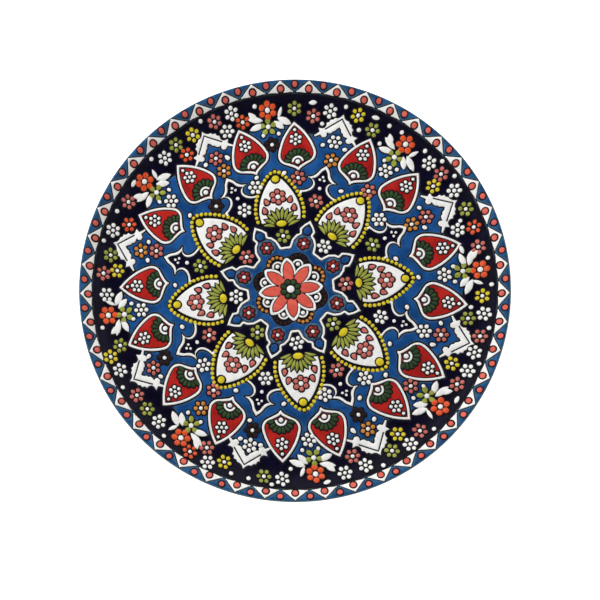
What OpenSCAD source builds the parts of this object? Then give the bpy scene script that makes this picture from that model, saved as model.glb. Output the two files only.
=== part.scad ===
// Round ceramic plate with a hand painted relief pattern of eight spokes.
// Every coat of slip, glaze and enamel is its own solid, laid on the one below it.
// Origin: middle of the foot ring's standing face. +Z is up, out of the dish.

/* [Plate] */
// Diameter across the rim; the pattern grows and shrinks with it
plate_d = 300; // [200:10:400]
// Height of the foot ring below the clay wall
foot_h = 8; // [5:0.5:12]
// Mean radius of the foot ring
foot_r = 85; // [60:1:100]
// Width of the foot ring
foot_w = 6; // [4:0.5:10]
// Thickness of the clay wall
wall_t = 5.5; // [4.5:0.5:8]
// Radius of the flat well
well_r = 116; // [108:1:120]
// Rise of the clay from the well to the rim
rim_rise = 14; // [10:0.5:17]
// Radius of the rounded lip
lip_r = 1.2; // [1:0.1:1.6]

/* [Coats] */
// White slip under the painting
slip_t = 0.3; // [0.2:0.05:0.5]
// Black contour colour, which shows between the dabs
contour_t = 0.2; // [0.1:0.05:0.3]
// One coat of coloured enamel
enamel_t = 0.25; // [0.2:0.05:0.35]
// Clear glaze on the back
back_glaze_t = 0.3; // [0.2:0.05:0.5]

/* [Pattern] */
// Number of white triangles round the border
border_teeth = 45; // [36:1:45]
// How far the painter set the middle of the pattern to the left
hand_drift = 3; // [0:0.5:3]
// Radius of the dabs at the middle of the small flowers
eye_r = 1.6; // [1.2:0.1:1.8]

/* [Hidden] */
$fn = 144;

size_k = plate_d / 300;
rim_r = 150;
floor_z = foot_h + wall_t;
// The slope is an arc that leaves the well level and reaches rim_rise at the rim
curve_r = (pow(rim_r - well_r, 2) + pow(rim_rise, 2)) / (2 * rim_rise);
curve_z = floor_z + curve_r;

// Heights of the coats above the clay: the ground colours, then three coats of motifs
ground_h = slip_t + contour_t;
coat_a = ground_h + enamel_t;
coat_b = coat_a + enamel_t;
coat_c = coat_b + enamel_t;
coat_d = coat_c + enamel_t;

// Centre of the lip's rounding; the border band over it reaches the rim
lip_x = rim_r - lip_r - coat_a;
lip_angle = asin((lip_x - well_r) / (curve_r + lip_r));
lip_z = curve_z - (curve_r + lip_r) * cos(lip_angle);
// The underside is an arc too, level where it leaves the well and meeting the lip smoothly
under_r = (pow(lip_x - well_r, 2) + pow(lip_z - foot_h, 2) - pow(lip_r, 2)) / (2 * (lip_z - foot_h - lip_r));
under_angle = atan2(lip_x - well_r, foot_h + under_r - lip_z);
// Straight lengths that stand for the arcs of the slope and of the lip
slope_steps = 16;
lip_steps = 6;
under_lip_steps = 4;

// Directions are clockwise from +Y, as the painter set them out
tip_spokes = [16, 61.5, 108, 153.5, 196, 240.5, 285, 330.5];
panel_spokes = [38, 85, 130.5, 174.5, 217.5, 262.5, 307, 352.5];
heart_feet = [4, 29, 49.5, 74.5, 95, 121.5, 141, 167, 185.5, 208.5, 230.5, 253.5, 273.5, 299.5, 320, 344];
heart_tips = [
    0.5, 27, 47, 75, 95.7, 121.3, 139.3, 165.3, 184, 206.7, 228.2, 251.3, 271, 296.5, 317.8, 341.7
];
heart_foot_r = 85;
heart_tip_r = 121.5;

// Radii where the ground colours meet under the motifs
centre_r = 26;
navy_inner_r = 26.7;
blue_inner_r = 70;
navy_outer_r = 116.8;
band_inner_r = 141.2;
line_w = 0.7;
// Direction of the first triangle of the border
first_tooth = 4.4;

// Small flowers, each as [direction, radius]
white_at = [
    [11.7, 131], [47, 131], [58.5, 132.5], [70.3, 122.5], [98.3, 133], [110.5, 132.5], [116.5, 133],
    [144.5, 135], [159, 133], [165.5, 133.5], [184, 133.5], [206.5, 135.5], [225.3, 132], [244.8, 133.5],
    [268.5, 130.5], [288.5, 133.5], [316.3, 131], [338, 123.5], [341, 134],
    [16, 110.5], [108.5, 96.5], [195.7, 113.5],
    [38, 107.5], [85, 106.5], [174.5, 106.5], [262.5, 106.5], [307, 106.5],
    [51.5, 79.5], [141.5, 81], [163, 78], [229, 81], [341.5, 77.5],
    [38, 38.5], [174.5, 38.5], [262.5, 38.5], [108, 65.5], [196, 65.5], [330.5, 65.5]
];
pink_at = [
    [6.7, 126], [52, 132], [77.5, 132], [105.3, 133], [121.5, 131], [139.7, 132], [161.5, 124],
    [208.7, 126.5], [235.7, 132], [275, 133.5], [298.5, 132], [335.3, 133],
    [61.5, 107], [108, 108], [240.5, 111.5], [286.5, 99], [330.5, 109], [130.5, 106.5],
    [38, 89], [217.5, 89.5], [4, 80.5],
    [85, 38.5], [307, 38.5], [16, 65.5], [151.5, 65.5], [240.5, 65.5]
];
olive_at = [
    [0.5, 130.5], [26.3, 127.5], [65.2, 133], [100.3, 123], [150, 132], [189.5, 133], [230.5, 132],
    [252, 127], [281, 130.5], [321.5, 133],
    [352.5, 38.5], [130.5, 38.5], [217.5, 38.5], [61.5, 65.5], [285, 65.5]
];
yellow_at = [
    [20.3, 133], [53.5, 123], [92.8, 131], [116.2, 121.5], [145.5, 124.5], [202, 130.5], [249.5, 136],
    [276.5, 124], [327.5, 132]
];
orange_at = [[71.3, 133], [212.5, 135], [292.2, 124.5], [322.5, 123], [345.5, 127]];
amber_at = [[17, 97], [61.5, 96], [152.8, 111], [217.5, 105], [285, 110], [331, 98]];
brown_at = [[153.2, 99.5], [196, 103], [241.7, 101], [352.5, 105.5], [319, 79.5]];
flower_r = 4.1;
dots_at = [
    [10, 121.5], [16, 136], [22.3, 124], [30.3, 135], [34.5, 135.5], [30.5, 121.5], [43.5, 135], [49.3, 138],
    [55, 138], [67.8, 126.5], [81.5, 136.5], [89.5, 137], [96.5, 124], [102.5, 137.5], [113.4, 138],
    [136.5, 137.5], [154.5, 138], [181.5, 126], [187, 138], [193.8, 136.5], [199, 136.5], [221.3, 137],
    [239.8, 137.5], [258.5, 136], [284.6, 137.5], [294.3, 136], [313, 137], [331.5, 137.5], [348.3, 134.5]
];

// Point at a direction and radius
function polar(phi, r) = [r * sin(phi), r * cos(phi)];
// Direction from one point to another
function heading(a, b) = atan2(b.x - a.x, b.y - a.y);
// The pattern's middle sits left of centre, and comes back to true towards the border
function drift(r) = -hand_drift * (1 - min(1, max(0, (r - 80) / 61)));

// Catmull-Rom curve through a short list of points, with steps points to each span
function blend(a, b, c, d, t) =
    0.5 * (2 * b + (c - a) * t + (2 * a - 5 * b + 4 * c - d) * t * t
        + (3 * b - a - 3 * c + d) * t * t * t);
function curve(p, steps = 3) = [
    for (i = [0 : len(p) - 2], j = [0 : steps - 1])
        blend(p[max(i - 1, 0)], p[i], p[i + 1], p[min(i + 2, len(p) - 1)], j / steps)
];
// Whole outline from its right half, which runs from the axis out and back to the axis
function both_sides(half) =
    concat(half, [for (i = [len(half) - 1 : -1 : 0]) if (half[i].x > 0.01) [-half[i].x, half[i].y]]);
// The same outline drawn smaller about a point on its axis
function shrunk(p, k, y) = [for (q = p) [q.x * k, y + (q.y - y) * k]];

heart_line = both_sides(concat(
    curve([
        [0, 0], [2.2, 2.6], [6, 4.6], [11.5, 7.6], [13.7, 12.5],
        [12.2, 19.5], [9, 26.5], [4.8, 32.5], [0, 37.5]
    ]),
    [[0, 37.5]]));
panel_line = both_sides(concat(
    [[0, 47.5]],
    curve([[13.8, 49], [14.7, 56], [13.4, 64], [10.2, 71.5], [5.6, 78.5], [0, 84.3]]),
    [[0, 84.3]]));
vase_line = both_sides([
    [0, 69.6], [13, 69.6], [13.4, 71], [9, 72.6], [5.6, 76], [6.6, 79.4],
    [10.6, 81.8], [5.4, 84.4], [3.6, 88], [0, 92]
]);
vase_fill_line = both_sides([
    [0, 69.6], [10.5, 69.6], [6.4, 72], [3.6, 76], [4.6, 80], [7, 81.7], [3.9, 83], [2.3, 86], [0, 89]
]);
tip_line = both_sides([
    [0, 28], [9.4, 29], [9.2, 35], [7, 39.2], [5, 40.8], [6, 43.8], [3.6, 47.6], [0, 51.5]
]);
tip_fill_line = both_sides([
    [0, 28], [7.4, 29], [7.4, 34.4], [5.6, 37.8], [2.8, 40.4], [4, 43.6], [2.2, 46.2], [0, 48.4]
]);
petal_border_line = both_sides([[0, 3], [4.6, 11], [5.5, 15], [5, 17.6], [3.2, 20.2], [0, 22.3]]);
petal_line = both_sides([[0, 3], [3.4, 10], [4, 14], [3.5, 16], [2.1, 18.2], [0, 19.8]]);

// Ring-shaped flat outline
module ring(outer, inner) {
    difference() {
        circle(r = outer);
        circle(r = inner);
    }
}

// Stand a motif on a direction, turned so that its own +Y points outwards
module on_spoke(phi, r = 0, drift_r = 0) {
    translate([drift(max(r, drift_r)), 0]) rotate(-phi) translate([0, r]) children();
}

// Upright section of the face at a height above the clay: the level well, the slope, then over the lip
function face_line(h) = concat(
    [[0, floor_z + h]],
    [for (i = [0 : slope_steps]) let (a = lip_angle * i / slope_steps)
        [well_r + (curve_r - h) * sin(a), curve_z - (curve_r - h) * cos(a)]],
    [for (i = [1 : lip_steps]) let (a = -lip_angle + (90 + lip_angle) * i / lip_steps)
        [lip_x + (lip_r + h) * sin(a), lip_z + (lip_r + h) * cos(a)]]);

// The same for the underside, at a depth below the clay, out to the side of the lip
function under_line(h) = concat(
    [[0, foot_h - h]],
    [for (i = [0 : slope_steps]) let (a = under_angle * i / slope_steps)
        [well_r + (under_r + h) * sin(a), foot_h + under_r - (under_r + h) * cos(a)]],
    [for (i = [1 : under_lip_steps]) let (a = under_angle + (90 - under_angle) * i / under_lip_steps)
        [lip_x + (lip_r + h) * sin(a), lip_z - (lip_r + h) * cos(a)]]);

function backwards(line) = [for (i = [len(line) - 1 : -1 : 0]) line[i]];

// A coat over the whole face of the dish, between two heights above the clay
module coat(low, high) {
    scale(size_k) rotate_extrude() polygon(concat(face_line(low), backwards(face_line(high))));
}

// Flat slice from a centre, between straight down and an angle up from there
module slice(reach, angle) {
    polygon([[0, 0], [0, -reach], [reach * sin(angle), -reach * cos(angle)]]);
}

// Upright section of the coat a motif is cut from: true arcs, from the well to over the lip
module motif_section(low, high) {
    reach = 4 * (lip_r + high);
    translate([0, floor_z + low]) square([well_r, high - low]);
    translate([well_r, curve_z]) intersection() {
        ring(curve_r - low, curve_r - high);
        slice(2 * curve_r, lip_angle);
    }
    translate([lip_x, lip_z]) intersection() {
        ring(lip_r + high, lip_r + low, $fn = 48);
        polygon([[0, 0], [-reach * sin(lip_angle), reach * cos(lip_angle)], [reach, reach], [reach, 0]]);
    }
}

// Paint a flat outline on to the dish as a coat that follows its slope
module paint(low, high) {
    intersection() {
        scale(size_k) rotate_extrude() motif_section(low, high);
        linear_extrude(height = 2 * curve_z * size_k) scale(size_k) children();
    }
}

// The same for motifs that lie wholly in the flat well
module paint_well(low, high) {
    scale(size_k) translate([0, 0, floor_z + low]) linear_extrude(height = high - low) children();
}

// The two lines end at one point, on the side of the lip, so it is taken from only one of them
module clay_body() {
    top = face_line(0);
    color("wheat") scale(size_k) rotate_extrude()
        polygon(concat(under_line(0), [for (i = [len(top) - 2 : -1 : 0]) top[i]]));
}

// Ring of the same clay, joined on under the well
module foot_ring() {
    color("tan") scale(size_k) difference() {
        cylinder(r = foot_r + foot_w / 2, h = foot_h);
        translate([0, 0, -1]) cylinder(r = foot_r - foot_w / 2, h = foot_h + 2);
    }
}

// Glaze under the plate, left off the foot ring that stands on the kiln shelf
module back_glaze() {
    color("ivory") scale(size_k) rotate_extrude() difference() {
        polygon(concat(under_line(back_glaze_t), backwards(under_line(0))));
        translate([foot_r - foot_w / 2, 0]) square([foot_w, foot_h + wall_t / 2]);
    }
}

// Slip over the face and the top of the lip
module white_slip() { color("white") coat(0, slip_t); }

module contour_coat() { color("black") coat(slip_t, ground_h); }

module border_band() {
    color("steelblue") difference() {
        coat(ground_h, coat_a);
        translate([0, 0, -1]) cylinder(r = band_inner_r * size_k, h = 2 * curve_z * size_k);
    }
}

module outer_navy_ground() {
    color("midnightblue") paint(ground_h, coat_a) ring(band_inner_r - line_w, navy_outer_r);
}

module blue_field() {
    color("royalblue") paint(ground_h, coat_a) ring(navy_outer_r - line_w, blue_inner_r);
}

module inner_navy_ground() {
    color("midnightblue") paint_well(ground_h, coat_a) ring(blue_inner_r - line_w, navy_inner_r);
}

module centre_ground() {
    color("royalblue") paint_well(ground_h, coat_a) circle(r = centre_r);
}

module border_triangles() {
    color("white") paint(coat_a, coat_b) {
        for (i = [0 : border_teeth - 1]) {
            on_spoke(first_tooth + i * 360 / border_teeth, 0, rim_r)
                polygon([[-9, 141.4], [0, 140.9], [9, 141.4], [3.6, 145], [0, 148.3], [-3.6, 145]]);
        }
    }
}

// One dab stands in each triangle, and one in each blue space between two of them
module border_dots() {
    pitch = 360 / border_teeth;
    dot_r = 1.8;
    color("lightcoral") {
        paint(coat_b, coat_c)
            for (i = [0 : border_teeth - 1])
                on_spoke(first_tooth + i * pitch, 143.4) circle(r = dot_r, $fn = 24);
        paint(coat_a, coat_b)
            for (i = [0 : border_teeth - 1])
                on_spoke(first_tooth + (i + 0.5) * pitch, 144.2) circle(r = dot_r, $fn = 24);
    }
}

module rosette_border_shape() {
    circle(r = 13.4, $fn = 48);
    for (a = panel_spokes) rotate(-a) polygon(petal_border_line);
}

module rosette_border() {
    color("white") paint_well(coat_a, coat_b) translate([drift(0), 0]) rosette_border_shape();
}

module rosette_petals() {
    color("tomato") paint_well(coat_b, coat_c) translate([drift(0), 0]) {
        circle(r = 10.4, $fn = 48);
        for (a = panel_spokes) rotate(-a) polygon(petal_line);
    }
}

module rosette_eye() {
    color("darkgreen") paint_well(coat_c, coat_d) translate([drift(0), 0])
        for (i = [0 : 7]) rotate(i * 45) translate([0, 5.2]) circle(r = 1.85, $fn = 24);
}

module centre_dot() {
    color("white") paint_well(coat_c, coat_d) translate([drift(0), 0]) circle(r = 2.9, $fn = 36);
}

// White arch and dab between two petals of the rosette
module scallop_arches() {
    color("white") paint_well(coat_a, coat_b) translate([drift(0), 0]) difference() {
        for (a = tip_spokes) rotate(-a) translate([0, 16.8]) {
            circle(r = 1.7, $fn = 24);
            intersection() {
                ring(3.9, 2.8, $fn = 36);
                translate([-5, 0]) square([10, 5]);
            }
        }
        rosette_border_shape();
    }
}

module bead_arcs(first) {
    paint_well(coat_a, coat_b) translate([drift(0), 0])
        for (i = [first : 2 : 7], bead = [-2 : 2])
            rotate(-tip_spokes[i]) translate([0, 15.4]) rotate(bead * 27) translate([0, 6.2])
                circle(r = 1.15, $fn = 24);
}

module scallop_beads_brown() { color("saddlebrown") bead_arcs(0); }

module scallop_beads_amber() { color("peru") bead_arcs(1); }

module star_border() {
    color("white") paint_well(coat_a, coat_b) difference() {
        translate([drift(0), 0]) {
            circle(r = 31);
            for (a = tip_spokes) rotate(-a) polygon(tip_line);
        }
        circle(r = centre_r + line_w);
    }
}

module star_field() {
    color("royalblue") paint_well(coat_b, coat_c) difference() {
        translate([drift(0), 0]) {
            circle(r = 29.4);
            for (a = tip_spokes) rotate(-a) polygon(tip_fill_line);
        }
        circle(r = centre_r + line_w);
    }
}

module star_flowers() {
    color("firebrick") paint_well(coat_c, coat_d)
        for (a = tip_spokes) on_spoke(a, 34) ring(4.4, eye_r, $fn = 36);
}

// White ogive between two tips of the star, cut out for its sun
module petal_panels() {
    color("white") paint_well(coat_a, coat_b)
        for (a = panel_spokes) on_spoke(a) difference() {
            polygon(panel_line);
            translate([0, 46.6]) circle(r = 3.9, $fn = 36);
        }
}

module panel_beads() {
    half = curve([[16.3, 50.6], [17, 57.2], [15.6, 65.6], [12.4, 73], [8.2, 79.6], [3.2, 85.6]], 2);
    color("gold") paint_well(coat_a, coat_b)
        for (a = panel_spokes, side = [-1, 1], p = half)
            on_spoke(a) translate([side * p.x, p.y]) circle(r = 1.15, $fn = 20);
}

module panel_tips() {
    color("gold") paint_well(coat_b, coat_c)
        for (a = panel_spokes) on_spoke(a, 79.8) circle(r = 2.6, $fn = 30);
}

module panel_suns() {
    color("gold") paint_well(coat_a, coat_b)
        for (a = panel_spokes) on_spoke(a, 46.6) circle(r = 3.4, $fn = 36);
}

module panel_leaves() {
    leaf = [[0, 4.6], [0.8, 7], [0.8, 9.5], [0, 12.6], [-0.8, 9.5], [-0.8, 7]];
    color("olive") paint_well(coat_b, coat_c)
        for (a = panel_spokes, i = [-4 : 4]) on_spoke(a, 46.6) rotate(i * 14) polygon(leaf);
}

module panel_blossoms() {
    color("palevioletred") paint_well(coat_b, coat_c)
        for (a = panel_spokes) on_spoke(a) {
            translate([0, 66.5]) ring(5.2, eye_r, $fn = 36);
            for (side = [-1, 1]) {
                translate([side * 8.4, 64]) circle(r = 1.6, $fn = 24);
                translate([side * 10.4, 58.2]) circle(r = 1.6, $fn = 24);
            }
        }
}

module vase_borders() {
    color("white") paint_well(coat_a, coat_b) for (a = tip_spokes) on_spoke(a, 0, 80) polygon(vase_line);
}

module vase_fills() {
    color("midnightblue") paint_well(coat_b, coat_c)
        for (a = tip_spokes) on_spoke(a, 0, 80) polygon(vase_fill_line);
}

// Three white dabs and a dot up the neck of each vase
module vase_trefoils() {
    color("white") paint_well(coat_c, coat_d)
        for (a = tip_spokes) on_spoke(a, 0, 80) {
            translate([0, 83.6]) circle(r = 0.8, $fn = 20);
            for (side = [-1, 1]) translate([side * 1.5, 81.6]) circle(r = 0.8, $fn = 20);
            translate([0, 75]) circle(r = 1.2, $fn = 20);
        }
}

// Stand a heart with its foot and its point on the two directions the painter gave it
module each_heart() {
    for (i = [0 : len(heart_feet) - 1]) {
        foot = polar(heart_feet[i], heart_foot_r);
        tip = polar(heart_tips[i], heart_tip_r);
        translate([drift((heart_foot_r + heart_tip_r) / 2), 0] + foot) rotate(-heading(foot, tip)) children();
    }
}

module heart_borders() { color("white") paint(coat_a, coat_b) each_heart() polygon(heart_line); }

module heart_fills() {
    color("crimson") paint(coat_b, coat_c) each_heart() polygon(shrunk(heart_line, 0.82, 18));
}

// Seven green petals spread round each white arch
module heart_fans() {
    petal = [[0, 5.2], [1, 6.6], [1.1, 8.6], [0, 9.8], [-1.1, 8.6], [-1, 6.6]];
    color("darkgreen") paint_well(coat_c, coat_d)
        each_heart() for (i = [-3 : 3]) translate([0, 8]) rotate(i * 23) polygon(petal);
}

module heart_arches() {
    color("white") paint_well(coat_c, coat_d) each_heart() translate([0, 8]) {
        circle(r = 1.6, $fn = 24);
        intersection() {
            ring(4.2, 2.9, $fn = 36);
            translate([-5, 0]) square([10, 5]);
        }
    }
}

module heart_flowers() {
    color("white") paint(coat_c, coat_d) each_heart() {
        translate([0, 24]) circle(r = 4, $fn = 30);
        translate([0, 30.6]) circle(r = 1.1, $fn = 20);
    }
}

// Scalloped white chevron over each tip of the star
module brackets() {
    half = [
        [0, 130.6], [3.4, 127.4], [5.4, 126.2], [7.8, 122.4], [9.2, 118.6], [12.8, 116.6],
        [13.2, 113.4], [10.4, 113.2], [8.6, 115.8], [6, 116.2], [3.4, 119], [0, 121.8]
    ];
    color("white") paint(coat_a, coat_b) for (a = tip_spokes) on_spoke(a, 0, 122) polygon(both_sides(half));
}

// One leaf, from its stem to its point, with a belly on both sides
module leaf(from, to, belly) {
    mid = (from + to) / 2;
    side = [to.y - from.y, from.x - to.x] * belly / norm(to - from);
    polygon([from, (from + mid) / 2 + side * 0.8, mid + side, to, mid - side, (from + mid) / 2 - side * 0.8]);
}

module bouquet_leaves() {
    color("white") paint(coat_a, coat_b) for (a = panel_spokes) on_spoke(a, 0, 122) {
        leaf([-11.6, 124], [-15, 129.4], 1.1);
        leaf([-7.6, 124.4], [-11, 130], 1.2);
        leaf([-6.6, 122], [-13, 118.6], 1.4);
        leaf([4.6, 123], [7.4, 117.4], 1.2);
        leaf([8, 123.6], [12, 119.4], 1.2);
        leaf([6.4, 125.2], [9, 130], 0.9);
    }
}

module bouquet_stars() {
    color("olivedrab") paint(coat_a, coat_b) for (a = panel_spokes) on_spoke(a, 0, 122)
        translate([-1.5, 118.6]) ring(4.6, eye_r, $fn = 30);
}

module bouquet_blossoms() {
    color("orangered") paint(coat_a, coat_b) for (a = panel_spokes) on_spoke(a, 0, 122)
        translate([-0.8, 129.4]) ring(5.8, eye_r, $fn = 36);
}

// Small flowers of one colour, each as the ring that its petals fill
module flowers(list) {
    paint(coat_a, coat_b) for (p = list) on_spoke(p[0], p[1]) ring(flower_r, eye_r, $fn = 30);
}

module flowers_white() { color("white") flowers(white_at); }

module flowers_pink() { color("palevioletred") flowers(pink_at); }

module flowers_olive() { color("olivedrab") flowers(olive_at); }

module flowers_yellow() { color("gold") flowers(yellow_at); }

module flowers_orange() { color("orangered") flowers(orange_at); }

module flowers_amber() { color("peru") flowers(amber_at); }

module flowers_brown() { color("saddlebrown") flowers(brown_at); }

// White middles of all the coloured flowers
module flower_eyes() {
    small = concat(white_at, pink_at, olive_at, yellow_at, orange_at, amber_at, brown_at);
    color("white") {
        paint(coat_a, coat_b) {
            for (p = small) on_spoke(p[0], p[1]) circle(r = eye_r - 0.2, $fn = 20);
            for (a = panel_spokes) on_spoke(a, 0, 122) {
                translate([-1.5, 118.6]) circle(r = eye_r - 0.2, $fn = 20);
                translate([-0.8, 129.4]) circle(r = eye_r - 0.2, $fn = 20);
            }
        }
        paint_well(coat_b, coat_c) for (a = panel_spokes) on_spoke(a, 66.5) circle(r = eye_r - 0.2, $fn = 20);
        paint_well(coat_c, coat_d) for (a = tip_spokes) on_spoke(a, 34) circle(r = eye_r - 0.2, $fn = 20);
    }
}

module white_dots() {
    color("white") paint(coat_a, coat_b) for (p = dots_at) on_spoke(p[0], p[1]) circle(r = 1.5, $fn = 20);
}

clay_body();
foot_ring();
back_glaze();
white_slip();
contour_coat();
border_band();
outer_navy_ground();
blue_field();
inner_navy_ground();
centre_ground();
border_triangles();
border_dots();
rosette_border();
rosette_petals();
rosette_eye();
centre_dot();
scallop_arches();
scallop_beads_brown();
scallop_beads_amber();
star_border();
star_field();
star_flowers();
petal_panels();
panel_beads();
panel_tips();
panel_suns();
panel_leaves();
panel_blossoms();
vase_borders();
vase_fills();
vase_trefoils();
heart_borders();
heart_fills();
heart_fans();
heart_arches();
heart_flowers();
brackets();
bouquet_leaves();
bouquet_stars();
bouquet_blossoms();
flowers_white();
flowers_pink();
flowers_olive();
flowers_yellow();
flowers_orange();
flowers_amber();
flowers_brown();
flower_eyes();
white_dots();
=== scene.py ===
import math

import bpy
import numpy as np
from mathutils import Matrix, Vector, geometry, kdtree


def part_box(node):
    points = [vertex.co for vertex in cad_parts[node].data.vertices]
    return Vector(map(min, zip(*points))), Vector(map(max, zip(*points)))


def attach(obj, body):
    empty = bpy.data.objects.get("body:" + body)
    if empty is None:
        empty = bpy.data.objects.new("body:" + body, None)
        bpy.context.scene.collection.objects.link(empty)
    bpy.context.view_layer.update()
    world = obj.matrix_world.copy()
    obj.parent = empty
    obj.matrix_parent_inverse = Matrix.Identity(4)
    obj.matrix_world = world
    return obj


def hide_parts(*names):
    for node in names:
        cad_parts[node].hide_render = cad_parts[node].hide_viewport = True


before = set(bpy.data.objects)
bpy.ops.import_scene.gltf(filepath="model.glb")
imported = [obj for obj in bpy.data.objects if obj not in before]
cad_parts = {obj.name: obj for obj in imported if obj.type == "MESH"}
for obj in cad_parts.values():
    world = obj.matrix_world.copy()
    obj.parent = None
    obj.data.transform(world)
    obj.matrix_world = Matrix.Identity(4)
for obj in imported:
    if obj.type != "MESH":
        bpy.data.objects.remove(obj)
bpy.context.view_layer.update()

scene = bpy.context.scene

# ---------------------------------------------------------------- floor, light and camera
# A pale floor under the plate, a bright room with a dark ceiling, and one soft lamp.
# The glaze shows the dark ceiling where it is level and the bright walls on every rounded edge.
# The lamp lights the glaze but isn't mirrored in it.

scene.view_settings.view_transform = "Standard"


def node_of(tree, kind, settings=None, **inputs):
    """A node with its settings made and its inputs given as numbers or joined to other sockets."""
    node = tree.nodes.new(kind)
    for key, value in (settings or {}).items():
        setattr(node, key, value)
    for key, value in inputs.items():
        socket = node.inputs[int(key[1:])] if key[0] == "i" and key[1:].isdigit() else node.inputs[key]
        if isinstance(value, bpy.types.NodeSocket):
            tree.links.new(value, socket)
        else:
            socket.default_value = value
    return node


def surface(name):
    """An empty material with its principled shader joined up, ready for its colour and relief."""
    material = bpy.data.materials.new(name)
    material.use_nodes = True
    tree = material.node_tree
    return material, tree, tree.nodes["Principled BSDF"]


def mottle(tree, shader, dark, light, stops=(0.0, 1.0), **noise):
    """Colour a surface by a cloud between two tones; gives the coordinates, the cloud and the colour."""
    place = node_of(tree, "ShaderNodeTexCoord").outputs["Object"]
    cloud = node_of(tree, "ShaderNodeTexNoise", Vector=place, **noise).outputs["Fac"]
    tone = node_of(tree, "ShaderNodeValToRGB", Fac=cloud)
    for element, stop, colour in zip(tone.color_ramp.elements, stops, (dark, light)):
        element.position = stop
        element.color = (*colour, 1)
    tree.links.new(tone.outputs["Color"], shader.inputs["Base Color"])
    return place, cloud, tone.outputs["Color"]


def relief(tree, shader, height, strength, depth):
    """Fine relief in a surface, depth in metres."""
    bump = node_of(tree, "ShaderNodeBump", Strength=strength, Distance=depth, Height=height)
    tree.links.new(bump.outputs["Normal"], shader.inputs["Normal"])


floor_half = 3.0
floor_mesh = bpy.data.meshes.new("floor")
floor_mesh.from_pydata(
    [(x * floor_half, y * floor_half, 0) for x, y in ((-1, -1), (1, -1), (1, 1), (-1, 1))], [], [(0, 1, 2, 3)]
)
floor = bpy.data.objects.new("floor", floor_mesh)
scene.collection.objects.link(floor)
floor_paint, floor_tree, floor_shader = surface("pale_floor")
floor_shader.inputs["Base Color"].default_value = (0.9, 0.9, 0.9, 1)
floor_shader.inputs["Roughness"].default_value = 0.9
floor_shader.inputs["Specular IOR Level"].default_value = 0.0
floor_shader.inputs["Emission Color"].default_value = (1, 1, 1, 1)
floor_shader.inputs["Emission Strength"].default_value = 0.6
floor_mesh.materials.append(floor_paint)

world = bpy.data.worlds.new("room")
scene.world = world
world.use_nodes = True
room = world.node_tree
room_coords = node_of(room, "ShaderNodeTexCoord")
room_height = node_of(room, "ShaderNodeSeparateXYZ", Vector=room_coords.outputs["Generated"])
room_shade = node_of(room, "ShaderNodeValToRGB", Fac=room_height.outputs["Z"])
wall_light = 1.0
ceiling_light = 0.05
stops = room_shade.color_ramp.elements
stops[0].position = 0.62
stops[0].color = (wall_light, wall_light, wall_light, 1)
stops[1].position = 0.86
stops[1].color = (ceiling_light, ceiling_light, ceiling_light, 1)
room_sight = node_of(room, "ShaderNodeLightPath")
room_colour = node_of(
    room, "ShaderNodeMix", {"data_type": "RGBA"},
    i0=room_sight.outputs["Is Camera Ray"], i6=room_shade.outputs["Color"], i7=(1, 1, 1, 1),
)
room.links.new(room_colour.outputs[2], room.nodes["Background"].inputs["Color"])

lamp_data = bpy.data.lights.new("soft_lamp", "AREA")
lamp_data.shape = "DISK"
lamp_data.size = 0.7
lamp_data.energy = 17.0
lamp = bpy.data.objects.new("soft_lamp", lamp_data)
lamp.location = (-0.75, 0.85, 0.95)
lamp.rotation_euler = (Vector((0, 0, 0)) - lamp.location).to_track_quat("-Z", "Y").to_euler()
lamp.visible_glossy = False
scene.collection.objects.link(lamp)

# The plate is looked at from 1.4 m, nearly straight on, with its middle a little left and high in the frame
tilt = math.radians(11.6)
swing = math.radians(-0.5)
aim_right = math.radians(-0.14)
aim_up = math.radians(0.3085)
reach = 1.4
lens = 120.36
mm = 0.001
floor_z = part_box("inner_navy_ground")[0].z / mm
towards = Vector((math.sin(swing) * math.sin(tilt), -math.cos(swing) * math.sin(tilt), math.cos(tilt)))
upward = (Vector((0, 1, 0)) - towards * towards.y).normalized()
rightward = upward.cross(towards)
camera_data = bpy.data.cameras.new("camera")
camera_data.sensor_width = 36.0
camera_data.lens = lens
camera = bpy.data.objects.new("camera", camera_data)
sight = -towards + aim_right * rightward + aim_up * upward
camera.location = Vector((0, 0, floor_z * mm)) - reach * sight
camera.rotation_euler = (-towards).to_track_quat("-Z", "Y").to_euler()
scene.collection.objects.link(camera)
scene.camera = camera

# ---------------------------------------------------------------- clay body
# A thrown and turned earthenware dish: a flat well, a wall that curves up to a rounded lip, and a foot
# ring turned from the same clay. The foot is wiped clean of glaze, so its standing face shows the clay.

clay_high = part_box("clay_body")[1]
lip_r = 1.2
slip_t = 0.3
contour_t = 0.2
well_r = 116.0
lip_x = clay_high.x / mm - lip_r
lip_z = clay_high.z / mm - lip_r
foot_h = 8.0
foot_mid = 85.0
foot_w = 6.0
foot_round = 1.3
hollow_r = 2.2


def slope(start_z, lip_off):
    """The arc from the level well up to a circle round the lip: its radius and how far round it goes."""
    run, climb = lip_x - well_r, lip_z - start_z
    radius = (run ** 2 + climb ** 2 - lip_off ** 2) / (2 * (climb + lip_off))
    return radius, math.asin(run / (radius + lip_off))


def face_line(coat):
    """Section of the face under a coat of this thickness, from the middle out and over the lip's side."""
    start_z = floor_z - slip_t - contour_t + coat
    radius, turn = slope(start_z, lip_r + coat)
    line = [(r, start_z) for r in (0.0, 30.0, 60.0, 90.0)]
    for k in range(17):
        a = turn * k / 16
        line.append((well_r + radius * math.sin(a), start_z + radius * (1 - math.cos(a))))
    for k in range(1, 9):
        a = (math.pi / 2 + turn) * (1 - k / 8)
        line.append((lip_x + (lip_r + coat) * math.cos(a), lip_z + (lip_r + coat) * math.sin(a)))
    return line


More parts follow.
